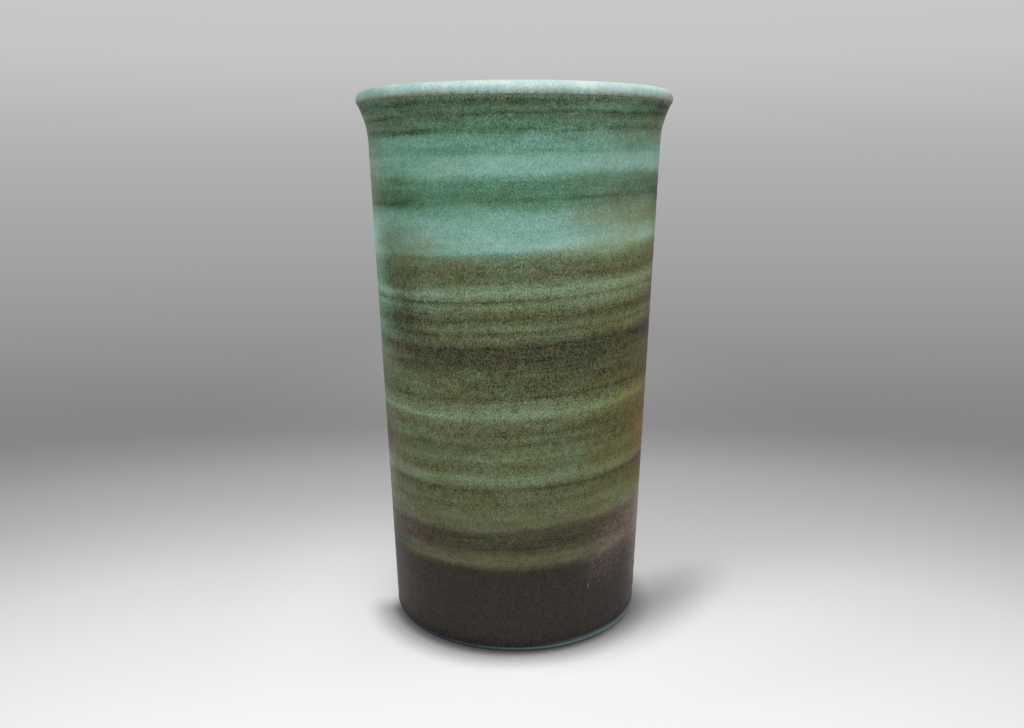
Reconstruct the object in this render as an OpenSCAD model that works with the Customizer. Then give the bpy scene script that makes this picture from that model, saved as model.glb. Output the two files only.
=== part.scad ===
// A thrown stoneware vase, standing on the table at the origin with +Z up its axis.
// It is a tall, slightly tapered wall with a short flared neck and a round lip, on a turned
// foot ring. A dark glaze covers the outside, a green glaze lies over it from the lip down to a
// line above the foot, a pale glaze covers the lip, and a liner glaze covers the inside. Where
// glaze has run down it ends in a thin line on the foot's rounded edge.

/* [Outline] */
// Height from the table to the top of the lip
height = 260; // [220:5:320]
// Diameter over the widest point of the lip
lip_d = 150.5; // [150:0.5:156]
// Diameter of the wall where the neck starts to flare
neck_d = 140; // [132:0.5:140.5]
// Diameter of the wall's straight side where it would meet the table
foot_d = 125.8; // [118:0.2:136]
// Height of the flared neck, measured down from the top of the lip
neck_h = 23; // [20:1:30]
// Radius of the foot's rounded outer edge
foot_edge_r = 3.3; // [2.5:0.1:4]

/* [Clay] */
// Thickness of the wall with its glazes, measured level
wall_t = 6.6; // [6:0.2:7]
// Thickness of the lip with its glaze
lip_t = 7.4; // [7.2:0.1:8]
// Height of the turned foot ring
foot_ring_h = 4.6; // [4.2:0.1:6]
// Width of the foot ring
foot_ring_w = 8; // [6:0.5:12]
// Depth of the hollow inside the foot ring
recess_h = 3.5; // [2:0.1:3.8]
// Thickness of the floor above the hollow, with the liner glaze
floor_t = 7.5; // [5:0.5:10]
// Radius between the floor and the wall inside
floor_fillet_r = 6; // [4:1:10]

/* [Glazes] */
// Thickness of the dark glaze
dark_t = 0.4; // [0.3:0.1:0.6]
// Thickness of the green glaze that lies over the dark one
green_t = 0.4; // [0.3:0.1:0.6]
// Thickness of the liner glaze
liner_t = 0.5; // [0.3:0.1:0.6]
// Height of the lower edge of the green glaze
green_z = 45; // [24:1:120]
// Width of the line of glaze that has run down onto the foot's rounded edge
run_line_w = 1.3; // [0.8:0.1:2]

/* [Hidden] */
$fn = 180;
NECK_STEPS = 12;
EDGE_STEPS = 6;
LIP_STEPS = 20;
FLOOR_STEPS = 8;

// Points are [radius, height]; they lie in the half section that is turned about the axis.
coat_t = dark_t + green_t;
foot_r = foot_d / 2;
neck_r = neck_d / 2;
neck_z = height - neck_h;
lean = atan2(neck_r - foot_r, neck_z);
side_normal = [cos(lean), -sin(lean)];

// The foot's rounded edge meets the side at the angle -lean, and bare clay shows on it below
// the line of glaze that has run down to the foot.
edge_c = [foot_r + foot_edge_r * (tan(lean) - 1 / cos(lean)), foot_edge_r];
run_low_a = -lean - run_line_w / foot_edge_r * 180 / PI;

// The lip is a round bead, and the neck is an arc that meets the side and the bead smoothly.
lip_r = lip_t / 2;
lip_c = [lip_d / 2 - lip_r, height - lip_r];
neck_start = [neck_r, neck_z];
neck_arc_r = (norm(lip_c - neck_start) ^ 2 - lip_r ^ 2)
           / (2 * ((lip_c - neck_start) * side_normal + lip_r));
neck_c = neck_start + neck_arc_r * side_normal;
neck_end_a = atan2(lip_c.y - neck_c.y, neck_c.x - lip_c.x);

// Inside: the same construction, a wall thickness in from the side
throat_start = [neck_r - wall_t, neck_z];
throat_arc_r = (norm(lip_c - throat_start) ^ 2 - lip_r ^ 2)
             / (2 * ((lip_c - throat_start) * side_normal - lip_r));
throat_c = throat_start + throat_arc_r * side_normal;
throat_end_a = atan2(lip_c.y - throat_c.y, throat_c.x - lip_c.x);
floor_z = recess_h + floor_t;
floor_c = [inside_r(floor_z + floor_fillet_r, 0) - floor_fillet_r / cos(lean),
           floor_z + floor_fillet_r];
foot_ring_in_r = edge_c.x - foot_ring_w;
foot_ring_round_r = 1.5;

// Radius of the straight side at height z, a depth of inset under the outer surface
function side_r(z, inset) = foot_r + z * tan(lean) - inset / cos(lean);

// Radius of the straight inside at height z, a depth of inset under the liner's surface
function inside_r(z, inset) = foot_r + z * tan(lean) - wall_t + inset / cos(lean);

function arc(c, r, from, to, steps) =
    [for (i = [0:steps]) let (a = from + (to - from) * i / steps) c + r * [cos(a), sin(a)]];

// The foot's edge between two angles
function edge_arc(inset, from, to) = arc(edge_c, foot_edge_r - inset, from, to, EDGE_STEPS);

// The outside of the neck, upwards
function neck_arc(inset) =
    arc(neck_c, neck_arc_r + inset, 180 - lean, 180 - neck_end_a, NECK_STEPS);

// The whole outside from the bottom of the straight side up to the lip
function outside_path(inset) =
    concat([edge_c + (foot_edge_r - inset) * side_normal], neck_arc(inset));

// The inside of the neck, upwards
function throat_arc(inset) =
    arc(throat_c, throat_arc_r - inset, 180 - lean, 180 - throat_end_a, NECK_STEPS);

// The round of the lip, from its outer edge over the top to its inner edge
function lip_arc(inset) =
    arc(lip_c, lip_r - inset, -neck_end_a, 180 - throat_end_a, LIP_STEPS);

// The inside surface from the middle of the floor up to the neck
function bowl_path(inset) = concat(
    [[0, floor_z - inset]],
    arc(floor_c, floor_fillet_r + inset, -90, -lean, FLOOR_STEPS),
    throat_arc(inset));

function reversed(points) = [for (i = [len(points) - 1:-1:0]) points[i]];

// A solid of revolution between two paths that run the same way
module coat(outer_path, inner_path) {
    rotate_extrude() polygon(concat(outer_path, reversed(inner_path)));
}

// The turned ring that the vase stands on
module foot_ring() {
    color("tan") rotate_extrude() polygon(concat(
        edge_arc(0, -90, run_low_a),
        edge_arc(coat_t, run_low_a, -lean),
        [[side_r(foot_ring_h, coat_t), foot_ring_h], [foot_ring_in_r, foot_ring_h]],
        arc([foot_ring_in_r + foot_ring_round_r, foot_ring_round_r], foot_ring_round_r,
            180, 270, EDGE_STEPS)));
}

// The floor, which sits in the foot ring and rises at its edge to meet the wall
module clay_floor() {
    color("tan") rotate_extrude() polygon(concat(
        [[0, recess_h], [foot_ring_in_r, recess_h], [foot_ring_in_r, foot_ring_h],
         [side_r(foot_ring_h, coat_t), foot_ring_h],
         [side_r(floor_c.y, coat_t), floor_c.y],
         [inside_r(floor_c.y, liner_t), floor_c.y]],
        arc(floor_c, floor_fillet_r + liner_t, -lean, -90, FLOOR_STEPS),
        [[0, floor_z - liner_t]]));
}

// The thrown wall, straight from the floor up to where the neck starts
module clay_wall() {
    color("tan") rotate_extrude() polygon([
        [side_r(floor_c.y, coat_t), floor_c.y],
        neck_arc(coat_t)[0],
        throat_arc(liner_t)[0],
        [inside_r(floor_c.y, liner_t), floor_c.y]]);
}

// The neck, flared outwards up to the middle of the lip
module clay_neck() {
    lip_inner_a = 180 - throat_end_a;
    color("tan") rotate_extrude() polygon(concat(
        neck_arc(coat_t),
        [lip_c, lip_c + (lip_r - coat_t) * [cos(lip_inner_a), sin(lip_inner_a)]],
        reversed(throat_arc(liner_t))));
}

// The bead of clay that is rolled over at the top of the wall
module clay_lip() {
    color("tan") rotate_extrude() polygon(concat([lip_c], lip_arc(coat_t)));
}

// The glaze on the inside, over the floor and up to the lip
module liner_glaze() {
    color("paleturquoise") coat(bowl_path(liner_t), bowl_path(0));
}

// The dark glaze next to the clay, from the foot up to the lip
module dark_glaze() {
    color([0.21, 0.18, 0.17]) coat(outside_path(green_t), outside_path(coat_t));
}

// The green glaze over the dark one, from its lower edge up to the lip
module green_glaze() {
    color([0.33, 0.45, 0.36])
        coat(concat([[side_r(green_z, 0), green_z]], neck_arc(0)),
             concat([[side_r(green_z, green_t), green_z]], neck_arc(green_t)));
}

// The pale glaze over the round of the lip
module lip_glaze() {
    color([0.72, 0.84, 0.82]) coat(lip_arc(0), lip_arc(coat_t));
}

// The thin line where glaze has run down and gathered just above the foot
module foot_glaze_line() {
    color([0.42, 0.55, 0.52])
        coat(edge_arc(0, run_low_a, -lean), edge_arc(coat_t, run_low_a, -lean));
}

foot_ring();
clay_floor();
clay_wall();
clay_neck();
clay_lip();
liner_glaze();
dark_glaze();
green_glaze();
lip_glaze();
foot_glaze_line();
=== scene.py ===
import math

import bpy
import numpy as np
from mathutils import Matrix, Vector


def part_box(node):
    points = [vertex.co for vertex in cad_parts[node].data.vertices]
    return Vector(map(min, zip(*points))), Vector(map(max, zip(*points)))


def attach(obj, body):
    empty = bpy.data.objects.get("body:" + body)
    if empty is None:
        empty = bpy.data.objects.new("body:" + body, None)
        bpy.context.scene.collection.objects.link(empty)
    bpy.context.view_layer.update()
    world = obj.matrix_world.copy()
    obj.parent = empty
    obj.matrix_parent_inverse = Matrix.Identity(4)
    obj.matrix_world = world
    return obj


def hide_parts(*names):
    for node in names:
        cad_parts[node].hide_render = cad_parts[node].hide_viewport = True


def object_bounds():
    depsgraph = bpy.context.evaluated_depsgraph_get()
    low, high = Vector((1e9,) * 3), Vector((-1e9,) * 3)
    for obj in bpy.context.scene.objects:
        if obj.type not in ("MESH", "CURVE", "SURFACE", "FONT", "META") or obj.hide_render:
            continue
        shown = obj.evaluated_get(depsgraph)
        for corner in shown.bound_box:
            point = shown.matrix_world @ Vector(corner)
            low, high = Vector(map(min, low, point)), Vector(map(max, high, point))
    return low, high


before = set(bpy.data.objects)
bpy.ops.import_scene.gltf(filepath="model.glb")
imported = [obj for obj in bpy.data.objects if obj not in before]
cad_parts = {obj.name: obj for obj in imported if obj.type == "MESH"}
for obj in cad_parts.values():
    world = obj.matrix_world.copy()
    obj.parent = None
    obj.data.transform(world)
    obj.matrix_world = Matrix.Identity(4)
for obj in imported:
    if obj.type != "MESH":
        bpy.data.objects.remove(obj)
cad_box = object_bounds()

# A thrown stoneware vase. Every glaze and every clay surface is a closed shell turned about the
# vase's axis from a section, which is worked out from the CAD model's boxes and a few sizes.
# The turned surfaces carry the shallow ridges and grooves that the potter's fingers and tools
# leave. Lengths are metres, apart from those whose name or comment says mm.
# The front of the vase faces -Y, and angles round the axis start at +X.

MM = 0.001

# ---------------------------------------------------------------- sizes

HEIGHT = cad_box[1].z
MOUTH_R = cad_box[1].x
GREEN_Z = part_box("green_glaze")[0].z
RECESS_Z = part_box("clay_floor")[0].z
RING_TOP_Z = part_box("foot_ring")[1].z

NECK_R = 70 * MM           # outer radius where the neck starts to flare
FOOT_R = 62.9 * MM         # outer radius of the straight side where it would meet the table
NECK_H = 23 * MM
EDGE_R = 3.3 * MM          # the foot's rounded outer edge
WALL_T = 6.6 * MM
LIP_R = 3.7 * MM           # the lip is a round bead
FLOOR_T = 7.5 * MM
FLOOR_FILLET_R = 6 * MM
RING_W = 8 * MM
RING_ROUND_R = 1.5 * MM
GREEN_T = 0.4 * MM
COAT_T = 0.8 * MM          # the dark glaze and the green one together
LINER_T = 0.5 * MM
RUN_LINE_W = 1.3 * MM      # the line of glaze on the foot's edge

NECK_Z = HEIGHT - NECK_H
LEAN = math.atan2(NECK_R - FOOT_R, NECK_Z)
SIDE_NORMAL = np.array([math.cos(LEAN), -math.sin(LEAN)])
LEAN_DEG = math.degrees(LEAN)
EDGE_C = np.array([FOOT_R + EDGE_R * (math.tan(LEAN) - 1 / math.cos(LEAN)), EDGE_R])
RUN_LOW_DEG = -LEAN_DEG - math.degrees(RUN_LINE_W / EDGE_R)
LIP_C = np.array([MOUTH_R - LIP_R, HEIGHT - LIP_R])
FLOOR_Z = RECESS_Z + FLOOR_T
RING_IN_R = EDGE_C[0] - RING_W

SEGMENTS = 256
SHARP_DEG = 40             # edges that turn by more than this are shaded sharp
SAME = 1e-7                # points closer than this are one point


def tangent_arc(start, side):
    """The arc that leaves the leaning side at start and meets the lip's bead smoothly.

    side is 1 for the outside and -1 for the inside. Returns the arc's centre, its radius and
    the angle in degrees, above level, at which it meets the bead.
    """
    to_lip = LIP_C - start
    radius = (to_lip @ to_lip - LIP_R ** 2) / (2 * (to_lip @ SIDE_NORMAL + side * LIP_R))
    centre = start + radius * SIDE_NORMAL
    return centre, radius, math.degrees(math.atan2(LIP_C[1] - centre[1], centre[0] - LIP_C[0]))


NECK_C, NECK_ARC_R, NECK_END_DEG = tangent_arc(np.array([NECK_R, NECK_Z]), 1)
THROAT_C, THROAT_ARC_R, THROAT_END_DEG = tangent_arc(np.array([NECK_R - WALL_T, NECK_Z]), -1)


# ---------------------------------------------------------------- sections

def arc(centre, radius, start_deg, end_deg, spacing):
    """Points [radius, height] along an arc, about spacing apart."""
    length = abs(math.radians(end_deg - start_deg)) * radius
    angles = np.radians(np.linspace(start_deg, end_deg, max(3, round(length / spacing)) + 1))
    return np.column_stack((centre[0] + radius * np.cos(angles),
                            centre[1] + radius * np.sin(angles)))


def line(start, end, spacing):
    """Points along a straight stretch, about spacing apart."""
    length = math.dist(start, end)
    steps = max(1, round(length / spacing))
    return np.linspace(start, end, steps + 1)


def joined(*stretches):
    """One run of points from stretches that follow each other, with no point twice."""
    points = np.vstack(stretches)
    gaps = np.linalg.norm(np.diff(points, axis=0), axis=1)
    return points[np.concatenate(([True], gaps > SAME))]


def side_point(z, inset):
    """The point of the outer side at height z, a depth of inset under its surface."""
    return np.array([FOOT_R + z * math.tan(LEAN) - inset / math.cos(LEAN), z])


def inside_r(z, inset):
    """The inside's radius at height z, a depth of inset under the liner's surface."""
    return FOOT_R + z * math.tan(LEAN) - WALL_T + inset / math.cos(LEAN)


def neck_arc(inset, spacing):
    """The outside of the neck, upwards."""
    return arc(NECK_C, NECK_ARC_R + inset, 180 - LEAN_DEG, 180 - NECK_END_DEG, spacing)


def outside_path(from_z, inset, spacing):
    """The outside from a height on the straight side up to the lip."""
    neck = neck_arc(inset, spacing)
    return joined(line(side_point(from_z, inset), neck[0], spacing), neck)


def edge_arc(inset, start_deg, end_deg, spacing):
    """The foot's rounded edge between two angles."""
    return arc(EDGE_C, EDGE_R - inset, start_deg, end_deg, spacing)


def run_arc(inset, spacing):
    """The part of the foot's edge that the line of glaze lies on."""
    return edge_arc(inset, RUN_LOW_DEG, -LEAN_DEG, spacing)


def edge_top(inset):
    """The point where the foot's edge meets the straight side."""
    return run_arc(inset, MM)[-1]


def lip_arc(inset, spacing):
    """The round of the lip, from its outer edge over the top to its inner edge."""
    return arc(LIP_C, LIP_R - inset, -NECK_END_DEG, 180 - THROAT_END_DEG, spacing)


def bowl_path(inset, spacing):
    """The inside surface from the middle of the floor up to the lip."""
    fillet_z = FLOOR_Z + FLOOR_FILLET_R
    fillet_c = np.array([inside_r(fillet_z, 0) - FLOOR_FILLET_R / math.cos(LEAN), fillet_z])
    fillet = arc(fillet_c, FLOOR_FILLET_R + inset, -90, -LEAN_DEG, spacing)
    throat = arc(THROAT_C, THROAT_ARC_R - inset, 180 - LEAN_DEG, 180 - THROAT_END_DEG, spacing)
    return joined(line((0, FLOOR_Z - inset), fillet[0], spacing), fillet,
                  line(fillet[-1], throat[0], spacing), throat)


def reversed_path(points):
    return points[::-1]


# ---------------------------------------------------------------- relief

# The bands and the throwing ridges tip down towards -X: the least near the lip, the most in the
# middle of the wall, and less again at the green glaze's lower edge.
TIP_HIGH_MM = 1.2
TIP_LOW_MM = 3.8
TIP_FOOT_MM = 2.2
TIP_HIGH_Z = 222 * MM
TIP_LOW_Z = 204 * MM
TIP_WALL_Z = 60 * MM
TIP_FOOT_Z = 42 * MM

# Grooves in the outside: height on the tipped bands, depth and half width
GROOVES_MM = [
    (247, 0.10, 0.8), (241, 0.06, 1.2), (222, 0.05, 1.5), (213, 0.05, 1.6), (190, 0.08, 1.4),
    (170, 0.09, 0.9), (162, 0.07, 1.2), (156, 0.05, 0.9), (149, 0.10, 1.4), (126, 0.09, 1.0),
    (115, 0.06, 1.2), (104, 0.05, 1.3), (83, 0.12, 1.3), (76, 0.04, 1.2), (61, 0.10, 1.5),
]
GROOVE_WANDER = 0.4 * MM
THROWING_PITCH = 9.5 * MM
THROWING_DEPTH = 0.07 * MM
THROWING_UNEVEN = 0.5      # how much the ridges' depth varies
UNEVEN_DEPTH = 0.04 * MM

# Inside, rings on the wall and a spiral on the floor, which lies between these radii: where it
# starts, has its full depth, begins to fade and ends
RING_PITCH = 8.5 * MM
RING_DEPTH = 0.16 * MM
RING_WANDER = 0.6          # radians
RING_FADE = 12 * MM
SWIRL_PITCH = 9 * MM
SWIRL_DEPTH = 0.25 * MM
SWIRL_R = (2 * MM, 8 * MM, 44 * MM, 52 * MM)
SWIRL_FADE = 2 * MM

# Under the floor, a finer spiral that the turning tool leaves
TURNING_PITCH = 3.2 * MM
TURNING_DEPTH = 0.07 * MM
TURNING_WANDER = 0.5       # radians
TURNING_R = (0, 4 * MM, 46 * MM, 50 * MM)
TURNING_FADE = 0.2 * MM

WAVES = 5                  # how many waves make up an unevenness
TIGHTEST = 20 * MM         # the height over which the tightest wave turns by a radian
WAVE_PEAK = 1.5            # about the largest sum of the waves


def smooth_step(value, low, high):
    t = np.clip((value - low) / (high - low), 0, 1)
    return t * t * (3 - 2 * t)


def within(value, start, full, fades, end):
    """1 between full and fades, falling smoothly to 0 at start and at end."""
    return smooth_step(value, start, full) * (1 - smooth_step(value, fades, end))


def waver(angle, z, seed):
    """A gentle unevenness round the vase, between about -1 and 1."""
    draw = np.random.default_rng(seed)
    total = np.zeros(np.broadcast(angle, z).shape)
    for k in range(1, WAVES + 1):
        turns = draw.integers(1, 2 + k)
        per_metre = draw.uniform(-1, 1) * k / (WAVES * TIGHTEST)
        total = total + np.sin(turns * angle + per_metre * z + draw.uniform(0, 2 * math.pi)) / k
    return total / WAVE_PEAK


def band_z(angle, z):
    """The height of the tipped band that passes through a point."""
    high_share = smooth_step(z, TIP_LOW_Z, TIP_HIGH_Z)
    wall_share = smooth_step(z, TIP_FOOT_Z, TIP_WALL_Z)
    tip = TIP_FOOT_MM + (TIP_LOW_MM - TIP_FOOT_MM) * wall_share
    tip = tip + (TIP_HIGH_MM - TIP_LOW_MM) * high_share
    return z - tip * MM * np.cos(angle)


# Each relief gives, for points at an angle, radius and height, how far they move out of the
# section's surface. The outside's is never above 0, so that it stays in the CAD model's box.

def thrown_relief(angle, radius, z):
    """The outside's throwing ridges, grooves and unevenness."""
    band = band_z(angle, z)
    depth = 0.5 * THROWING_DEPTH * (1 - np.cos(2 * math.pi * band / THROWING_PITCH + angle))
    depth = depth * (1 + THROWING_UNEVEN * waver(angle, z, seed=3))
    for height, deep, half_width in GROOVES_MM:
        wander = GROOVE_WANDER * waver(angle, z, seed=height)
        away = (band - height * MM + wander) / (half_width * MM)
        depth = depth + deep * MM * np.exp(-away ** 2)
    return -depth - UNEVEN_DEPTH * (1 + waver(angle, z, seed=11))


def thrown_relief_under(angle, radius, z):
    """The underside of the green glaze follows its outside."""
    return -thrown_relief(angle, radius, z)


def bowl_relief(angle, radius, z):
    """Throwing rings inside the wall, and the spiral that the fingers leave on the floor."""
    turn = 2 * math.pi * z / RING_PITCH + angle + RING_WANDER * waver(angle, z, seed=21)
    rings = RING_DEPTH * np.cos(turn) * within(z, FLOOR_Z, FLOOR_Z + RING_FADE, NECK_Z, HEIGHT)
    on_floor = within(radius, *SWIRL_R) * (1 - smooth_step(z, FLOOR_Z, FLOOR_Z + SWIRL_FADE))
    return rings + SWIRL_DEPTH * np.cos(2 * math.pi * radius / SWIRL_PITCH - angle) * on_floor


def turning_marks(angle, radius, z):
    """Shallow grooves that the turning tool leaves in the hollow under the floor."""
    wander = TURNING_WANDER * waver(angle, z, seed=31)
    turn = 2 * math.pi * radius / TURNING_PITCH - angle + wander
    facing_down = 1 - smooth_step(z, RECESS_Z, RECESS_Z + TURNING_FADE)
    return -TURNING_DEPTH * (1 + np.cos(turn)) * within(radius, *TURNING_R) * facing_down


def no_relief(angle, radius, z):
    return np.zeros(np.broadcast(angle, z).shape)


# ---------------------------------------------------------------- turned pieces

def section_normals(points):
    """Unit vectors that point out of a section whose points run round it anticlockwise."""
    along = np.gradient(points, axis=0)
    along /= np.linalg.norm(along, axis=1)[:, None]
    return np.column_stack((along[:, 1], -along[:, 0]))


def turned_rows(stretches):
    """Rows of points round the axis, one for each point of a section, moved by its relief."""
    angle = np.linspace(0, 2 * math.pi, SEGMENTS, endpoint=False)[None, :]
    stretch_rows = []
    for points, relief in stretches:
        normals = section_normals(points)
        radius = points[:, 0][:, None]
        z = points[:, 1][:, None]
        move = relief(angle, radius, z)
        row_r = radius + move * normals[:, 0][:, None]
        row_z = z + move * normals[:, 1][:, None]
        row = np.stack((row_r * np.cos(angle), row_r * np.sin(angle), row_z), axis=-1)
        stretch_rows.append(row)
    rows = np.concatenate(stretch_rows)
    keep = np.ones(len(rows), bool)
    keep[1:] = np.abs(np.diff(rows, axis=0)).max(axis=(1, 2)) > SAME
    return rows[keep]


def closed_mesh(name, rows):
    """A closed mesh from rows of points that go round it, or from one pole to another."""
    has_poles = np.hypot(rows[0, 0, 0], rows[0, 0, 1]) < SAME
    first_pole, last_pole = rows[0].mean(axis=0), rows[-1].mean(axis=0)
    if has_poles:
        rows = rows[1:-1]
    index = np.arange(len(rows) * SEGMENTS).reshape(len(rows), SEGMENTS)
    beside = np.roll(index, -1, axis=1)
    faces = []
    for row in range(len(rows) - 1 if has_poles else len(rows)):
        above = (row + 1) % len(rows)
        faces += np.column_stack((index[row], beside[row], beside[above], index[above])).tolist()
    vertices = rows.reshape(-1, 3).tolist()
    if has_poles:
        pole = len(vertices)
        vertices += [first_pole.tolist(), last_pole.tolist()]
        faces += [[pole, int(b), int(a)] for a, b in zip(index[0], beside[0])]
        faces += [[pole + 1, int(a), int(b)] for a, b in zip(index[-1], beside[-1])]
    mesh = bpy.data.meshes.new(name)
    mesh.from_pydata(vertices, [], faces)
    mesh.shade_smooth()
    mesh.set_sharp_from_angle(angle=math.radians(SHARP_DEG))
    mesh.update()
    return mesh


def turned_piece(name, stretches, material, replaced):
    """A closed mesh turned about the axis, as a piece that stands for CAD nodes.

    stretches lists (points, relief) in order round the section, anticlockwise, with the axis
    on the left.
    """
    mesh = closed_mesh(name, turned_rows(stretches))
    mesh.materials.append(material)
    piece = bpy.data.objects.new(name, mesh)
    bpy.context.scene.collection.objects.link(piece)
    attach(piece, "root")
    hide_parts(*replaced)


# ---------------------------------------------------------------- material nodes

def rgb(red, green, blue):
    """A linear colour from its usual 0 to 255 screen values."""
    channels = [value / 255 for value in (red, green, blue)]
    return [c / 12.92 if c <= 0.04045 else ((c + 0.055) / 1.055) ** 2.4 for c in channels] + [1]


SHEEN = 0.0135             # how much the studio's light reflected in a glaze adds to its colour
DARKEST_CHANNEL = 0.003
WHITE = [1, 1, 1, 1]


def seen(red, green, blue):
    """A glaze's own colour, from the colour that it shows under the studio's light."""
    return [max(c - SHEEN, DARKEST_CHANNEL) for c in rgb(red, green, blue)[:3]] + [1]


def fill_ramp(ramp, stops):
    """Give a colour ramp these stops: (position, colour or number)."""
    while len(ramp.elements) < len(stops):
        ramp.elements.new(0.5)
    for element, (at, colour) in zip(ramp.elements, stops):
        element.position = at
        element.color = colour if isinstance(colour, list) else [colour] * 3 + [1]


class Tree:
    """A material's node tree, built up in small steps. Values are numbers or sockets."""

    def __init__(self, name, **shader):
        self.material = bpy.data.materials.new(name)
        self.material.use_nodes = True
        self.nodes = self.material.node_tree.nodes
        self.links = self.material.node_tree.links
        self.shader = self.nodes["Principled BSDF"]
        for socket, value in shader.items():
            self.shader.inputs[socket.replace("_", " ")].default_value = value
        self.position = self.node("ShaderNodeTexCoord").outputs["Object"]
        split = self.node("ShaderNodeSeparateXYZ", self.position)
        self.x, self.y, self.z = split.outputs

    def node(self, kind, *inputs, **settings):
        made = self.nodes.new(kind)
        for key, value in settings.items():
            setattr(made, key, value)
        for socket, value in zip(made.inputs, inputs):
            self.put(socket, value)
        return made

    def put(self, socket, value):
        if isinstance(value, bpy.types.NodeSocket):
            self.links.new(value, socket)
        elif value is not None:
            socket.default_value = value

    def math(self, operation, a, b=None, c=None):
        return self.node("ShaderNodeMath", a, b, c, operation=operation).outputs[0]

    def add(self, a, b):
        return self.math("ADD", a, b)

    def times(self, a, b):
        return self.math("MULTIPLY", a, b)

    def times_add(self, value, factor, amount):
        """value times factor, plus amount."""
        return self.math("MULTIPLY_ADD", value, factor, amount)

    def within_one(self, value):
        """The value, kept between 0 and 1."""
        return self.math("MAXIMUM", self.math("MINIMUM", value, 1.0), 0.0)

    def remap(self, value, low, high, to_low=0.0, to_high=1.0):
        """A smooth change from to_low at low to to_high at high."""
        made = self.node("ShaderNodeMapRange", value, low, high, to_low, to_high,
                         interpolation_type="SMOOTHSTEP")
        return made.outputs[0]

    def vector(self, x, y, z=0.0):
        return self.node("ShaderNodeCombineXYZ", x, y, z).outputs[0]

    def scaled(self, vector, scale):
        return self.node("ShaderNodeVectorMath", vector, scale, operation="MULTIPLY").outputs[0]

    def offset(self, vector, amount):
        return self.node("ShaderNodeVectorMath", vector, amount, operation="ADD").outputs[0]

    def length(self, vector):
        return self.node("ShaderNodeVectorMath", vector, operation="LENGTH").outputs["Value"]

    def noise(self, cells, detail=2.0, vector=None):
        """Noise about 0, mostly between -0.5 and 0.5, with this many cells to the metre."""
        made = self.node("ShaderNodeTexNoise", noise_dimensions="3D")
        vector = self.position if vector is None else vector
        self.put(made.inputs["Vector"], self.scaled(vector, cells))
        made.inputs["Scale"].default_value = 1.0
        made.inputs["Detail"].default_value = detail
        made.inputs["Roughness"].default_value = 0.5
        return self.add(made.outputs["Fac"], -0.5)

    def ramp(self, value, stops, low=0.0, high=1.0):
        """Colours, or numbers, by value: stops lists (value, colour or number)."""
        if (low, high) != (0.0, 1.0):
            value = self.node("ShaderNodeMapRange", value, low, high, 0.0, 1.0).outputs[0]
        made = self.node("ShaderNodeValToRGB", value)
        fill_ramp(made.color_ramp, [((at - low) / (high - low), colour) for at, colour in stops])
        return made.outputs["Color"]

    def mix(self, share, a, b):
        made = self.node("ShaderNodeMix", data_type="RGBA", blend_type="MIX")
        colour_a, colour_b = [socket for socket in made.inputs if socket.type == "RGBA"]
        self.put(made.inputs["Factor"], share)
        self.put(colour_a, a)
        self.put(colour_b, b)
        return next(socket for socket in made.outputs if socket.type == "RGBA")

    def bump(self, height, distance, strength):
        made = self.node("ShaderNodeBump")
        made.inputs["Strength"].default_value = strength
        made.inputs["Distance"].default_value = distance
        self.put(made.inputs["Height"], height)
        return made.outputs[0]

    def finish(self, colour, roughness=None, normal=None):
        self.put(self.shader.inputs["Base Color"], colour)
        self.put(self.shader.inputs["Roughness"], roughness)
        self.put(self.shader.inputs["Normal"], normal)
        return self.material


# ---------------------------------------------------------------- the outside's glazes

# How thick the green glaze lies on each band: height on the tipped bands, and thickness from
# 0, where the dark glaze shows through, to 1, where it is palest
BANDS_MM = [
    (42, 0.1), (44, 0.25), (46, 0.4), (49, 0.4), (52, 0.2), (54, 0.1), (60, 0.1), (62, 0.2),
    (64, 0.45), (70, 0.5), (76, 0.4), (78, 0.45), (80, 0.4), (83, 0.28), (86, 0.75), (88, 0.8),
    (91, 0.5), (93, 0.45), (98, 0.6), (102, 0.4), (104, 0.3), (107, 0.45), (110, 0.4),
    (114, 0.5), (116, 0.6), (118, 1.0), (121, 0.75), (124, 0.55), (126, 0.32), (128, 0.38),
    (132, 0.3), (140, 0.25), (142, 0.13), (149, 0.15), (152, 0.45), (154, 0.6), (156, 0.5),
    (158, 0.7), (160, 0.5), (162, 0.3), (164, 0.5), (168, 0.78), (170, 0.6), (172, 0.92),
    (174, 1.1), (176, 0.8), (179, 0.55), (184, 0.6), (187, 0.72), (190, 0.8), (192, 1.08),
    (200, 1.0), (204, 0.9), (206, 0.85), (210, 0.55), (212, 0.4), (216, 0.4), (220, 0.5),
    (222, 0.6), (224, 1.0), (228, 1.05), (230, 0.95), (232, 0.65), (235, 0.65), (238, 0.65),
    (241, 0.4), (244, 0.48), (247, 0.33), (249, 0.52), (252, 0.28), (255, 0.24),
]
RAMP_STOPS = 30            # a colour ramp holds up to 32 stops

MOSS = [(0.0, seen(57, 55, 41)), (0.25, seen(75, 79, 56)), (0.5, seen(91, 97, 71)),
        (0.75, seen(103, 117, 89)), (1.0, seen(116, 134, 106)), (1.3, seen(134, 154, 126))]
SEA = [(0.0, seen(56, 70, 50)), (0.25, seen(75, 106, 80)), (0.5, seen(94, 137, 113)),
       (0.75, seen(114, 159, 142)), (1.0, seen(130, 172, 158)), (1.3, seen(148, 188, 176))]
DARK = seen(52, 48, 43)
# Painted shade: the near-black that the glaze is darkened to just above the foot
PAINTED_FOOT_SHADE = seen(38, 37, 40)
# Painted sheen: a pale mauve grey that stands in for the studio's light reflected on the glaze at
# the vase's sides
PAINTED_SHEEN_GREY = seen(140, 118, 116)
FLECK = seen(150, 150, 135)
RUST = seen(133, 81, 34)
WARM_TINT = [1.05, 0.66, 0.16, 1]
BROWN_TINT = [1.04, 0.86, 1.02, 1]
LIP_RUN = seen(128, 146, 126)
FOOT_RUN = seen(96, 128, 124)

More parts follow.
